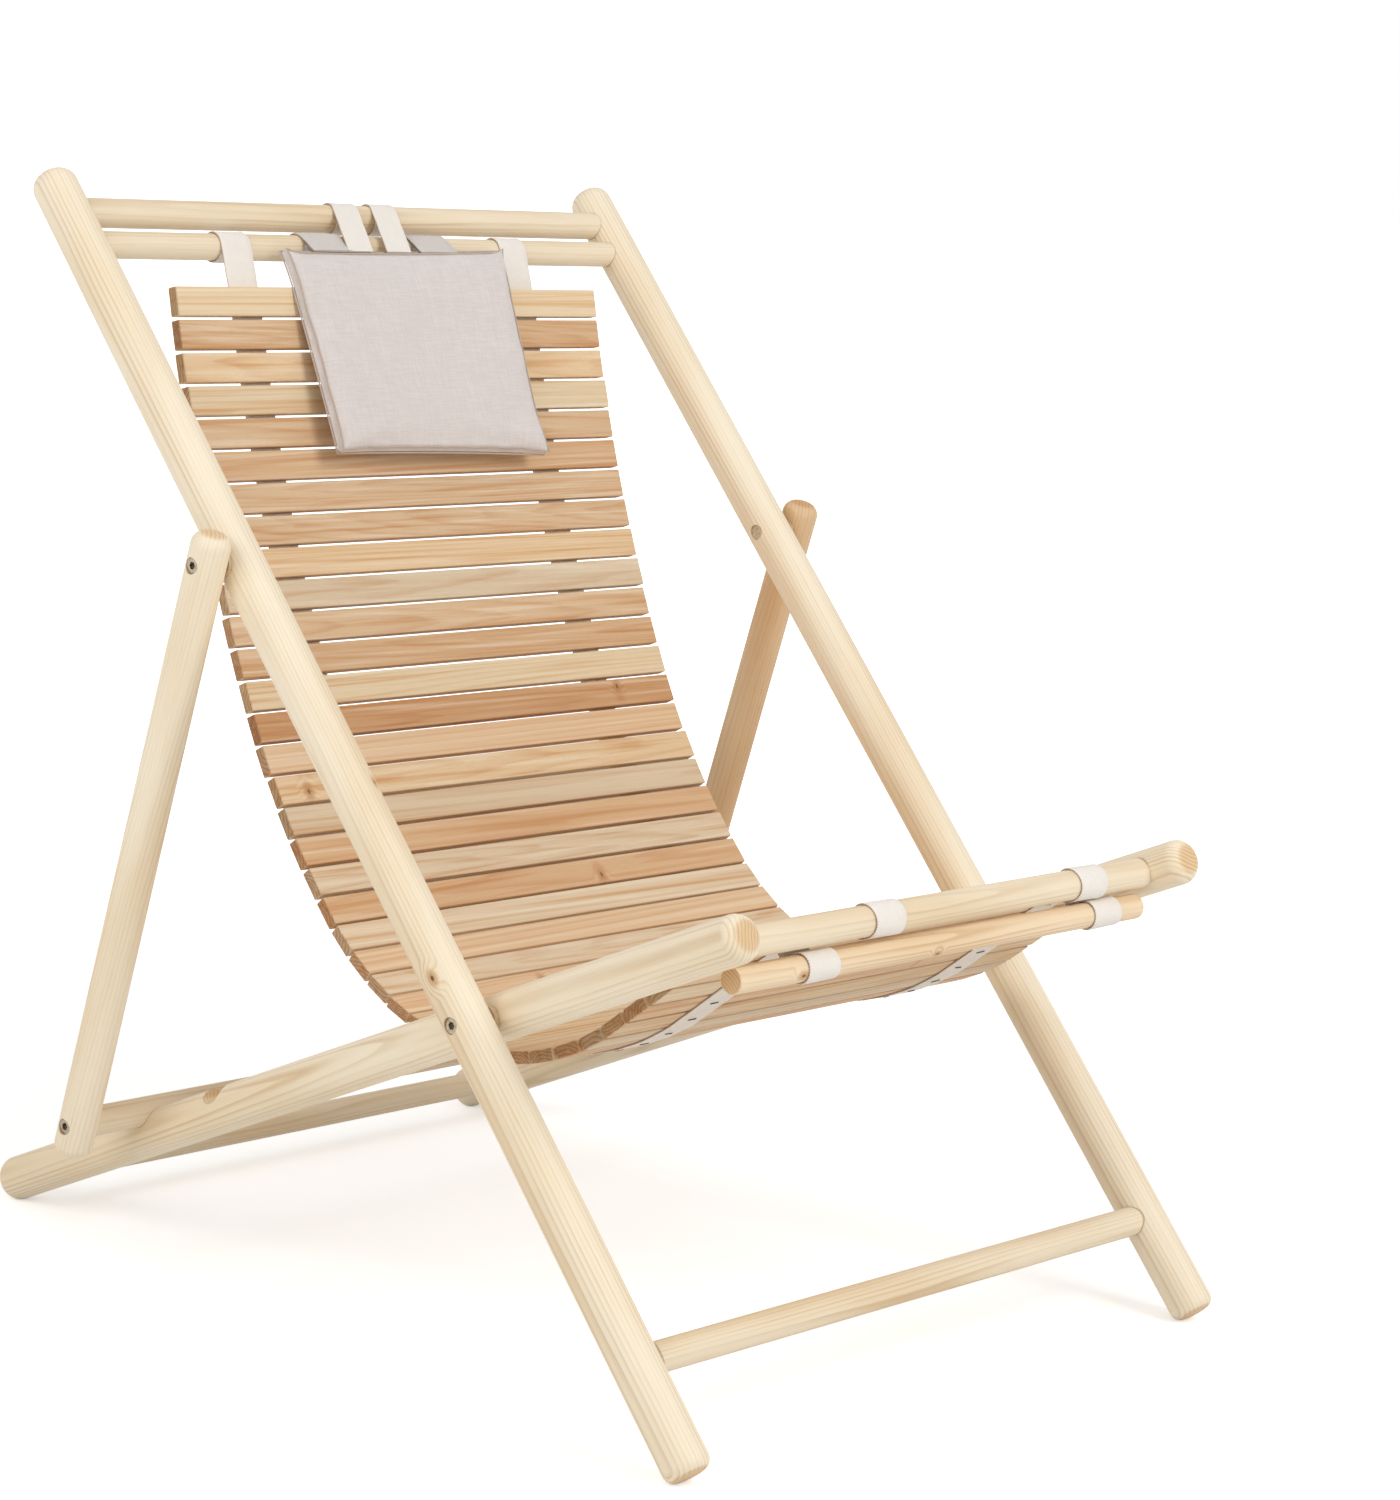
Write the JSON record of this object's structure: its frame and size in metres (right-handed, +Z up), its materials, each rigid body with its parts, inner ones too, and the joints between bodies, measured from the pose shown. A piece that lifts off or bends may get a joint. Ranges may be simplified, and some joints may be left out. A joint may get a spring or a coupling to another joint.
{
  "type": "folding lounge chair",
  "caption": "Folding lounge chair of round wooden poles with a hanging slatted sling seat, a notched recline support and a small head pillow.",
  "frame": {"origin": "on the floor, under the middle of the bounding box", "axes": "+X across the chair to the sitter's left as seen from the front right, +Y to the back, +Z up"},
  "size_m": [0.78, 0.9018, 0.9411],
  "materials": {
    "frame_wood": "satin",
    "slat_wood": "satin",
    "rod_wood": "satin",
    "webbing": "woven",
    "pillow_cloth": "woven linen",
    "staple_wire": "dark",
    "bolt_steel": "dark",
    "washer_plastic": "matte"
  },
  "bodies": {
    "main_frame": {"main_pole_left": "frame_wood", "main_pole_right": "frame_wood", "head_rail": "frame_wood", "sling_rail": "frame_wood", "foot_rail": "frame_wood", "seat_pivot_bolts": "bolt_steel", "seat_pivot_nuts": "bolt_steel", "seat_spacers": "washer_plastic", "prop_pivot_bolts": "bolt_steel", "prop_pivot_nuts": "bolt_steel", "prop_washers": "washer_plastic", "pillow_straps": "webbing"},
    "seat_frame": {"seat_pole_left": "frame_wood", "seat_pole_right": "frame_wood", "front_rail": "frame_wood", "rear_rail": "frame_wood", "rod": "rod_wood", "rail_loops": "webbing", "rod_loops": "webbing", "slats_h": "slat_wood", "webbing_h": "webbing", "staples_h": "staple_wire"},
    "prop_frame": {"prop_leg_left": "frame_wood", "prop_leg_right": "frame_wood", "prop_rail": "frame_wood", "prop_rail_bolts": "bolt_steel"},
    "pillow_body": {"pillow": "pillow_cloth"},
    "sling_a": {"slats_a": "slat_wood", "webbing_a": "webbing", "staples_a": "staple_wire", "top_loops": "webbing", "pillow_tabs": "pillow_cloth"},
    "sling_b": {"slats_b": "slat_wood", "webbing_b": "webbing", "staples_b": "staple_wire"},
    "sling_c": {"slats_c": "slat_wood", "webbing_c": "webbing", "staples_c": "staple_wire"},
    "sling_d": {"slats_d": "slat_wood", "webbing_d": "webbing", "staples_d": "staple_wire"},
    "sling_e": {"slats_e": "slat_wood", "webbing_e": "webbing", "staples_e": "staple_wire"},
    "sling_f": {"slats_f": "slat_wood", "webbing_f": "webbing", "staples_f": "staple_wire"},
    "sling_g": {"slats_g": "slat_wood", "webbing_g": "webbing", "staples_g": "staple_wire"}
  },
  "joints": [
    {"name": "seat_fold", "type": "hinge", "parent": "main_frame", "child": "seat_frame", "pos_m": [0, -0.16949, 0.30547], "axis": [1, 0, 0], "range_deg": [0, 70.5]},
    {"name": "prop_fold", "type": "hinge", "parent": "main_frame", "child": "prop_frame", "pos_m": [0, 0.12935, 0.63344], "axis": [1, 0, 0], "range_deg": [0, 126.91]},
    {"name": "pillow_lift", "type": "hinge", "parent": "sling_a", "child": "pillow_body", "pos_m": [0, 0.32417, 0.87814], "axis": [-1, 0, 0], "range_deg": [0, 90]},
    {"name": "sling_turn_a", "type": "hinge", "parent": "main_frame", "child": "sling_a", "pos_m": [0, 0.35209, 0.87788], "axis": [1, 0, 0], "range_deg": [-24.01, 0]},
    {"name": "sling_turn_b", "type": "hinge", "parent": "sling_a", "child": "sling_b", "pos_m": [0, 0.2744, 0.67658], "axis": [1, 0, 0], "range_deg": [0, 40.01]},
    {"name": "sling_turn_c", "type": "hinge", "parent": "sling_b", "child": "sling_c", "pos_m": [0, 0.21888, 0.54052], "axis": [1, 0, 0], "range_deg": [0, 11.76]},
    {"name": "sling_turn_d", "type": "hinge", "parent": "sling_c", "child": "sling_d", "pos_m": [0, 0.1477, 0.41217], "axis": [1, 0, 0], "range_deg": [-15.01, 0]},
    {"name": "sling_turn_g", "type": "hinge", "parent": "seat_frame", "child": "sling_g", "pos_m": [0, -0.27524, 0.31885], "axis": [1, 0, 0], "range_deg": [-19.26, 0]},
    {"name": "sling_turn_f", "type": "hinge", "parent": "sling_g", "child": "sling_f", "pos_m": [0, -0.17314, 0.26254], "axis": [1, 0, 0], "range_deg": [-50.26, 0]},
    {"name": "sling_turn_e", "type": "hinge", "parent": "sling_f", "child": "sling_e", "pos_m": [0, -0.05686, 0.25675], "axis": [1, 0, 0], "range_deg": [0, 2.76]}
  ],
  "couplings": [
    {"joint": "prop_fold", "follows": "seat_fold", "ratio": 1.8},
    {"joint": "sling_turn_a", "follows": "seat_fold", "ratio": -0.34043},
    {"joint": "sling_turn_b", "follows": "seat_fold", "ratio": 0.56738},
    {"joint": "sling_turn_c", "follows": "seat_fold", "ratio": 0.16667},
    {"joint": "sling_turn_d", "follows": "seat_fold", "ratio": -0.21277},
    {"joint": "sling_turn_g", "follows": "seat_fold", "ratio": -0.27305},
    {"joint": "sling_turn_f", "follows": "seat_fold", "ratio": -0.71277},
    {"joint": "sling_turn_e", "follows": "seat_fold", "ratio": 0.039007}
  ]
}
